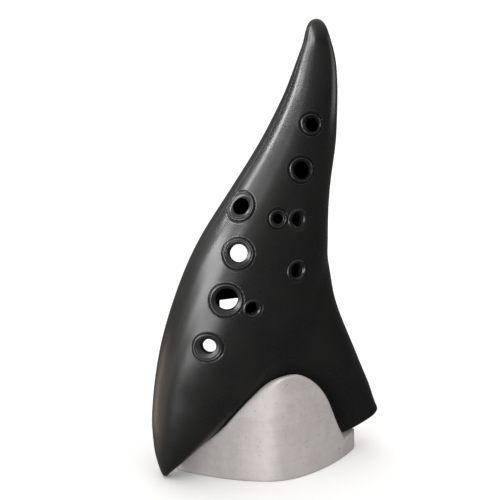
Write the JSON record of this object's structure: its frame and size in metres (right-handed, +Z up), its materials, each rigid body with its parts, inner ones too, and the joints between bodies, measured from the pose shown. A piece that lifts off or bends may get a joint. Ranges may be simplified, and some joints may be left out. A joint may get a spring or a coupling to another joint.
{
  "type": "ocarina with stand",
  "caption": "Tapered horn-shaped ocarina in satin black plastic, standing tail up in a pale bell-shaped display stand that it lifts out of.",
  "frame": {"origin": "on the ground plane under the ocarina's seam plane, at the middle of the stand's base", "axes": "+Z up, towards the ocarina's tail; -Y out of the finger-hole face; +X towards the mouthpiece"},
  "size_m": [0.1035, 0.0463, 0.189],
  "materials": {
    "shell_plastic": "satin black moulded ABS",
    "block_plastic": "satin black moulded ABS, insert",
    "stand_plastic": "warm light grey layered plastic with fine dark specks"
  },
  "bodies": {
    "stand": {"stand": "stand_plastic"},
    "ocarina": {"front_shell": "shell_plastic", "back_shell": "shell_plastic", "windway_block": "block_plastic"}
  },
  "joints": [
    {"name": "lift_off", "type": "slide", "parent": "stand", "child": "ocarina", "axis": [0, 0, 1], "range_m": [0, 0.06]}
  ]
}
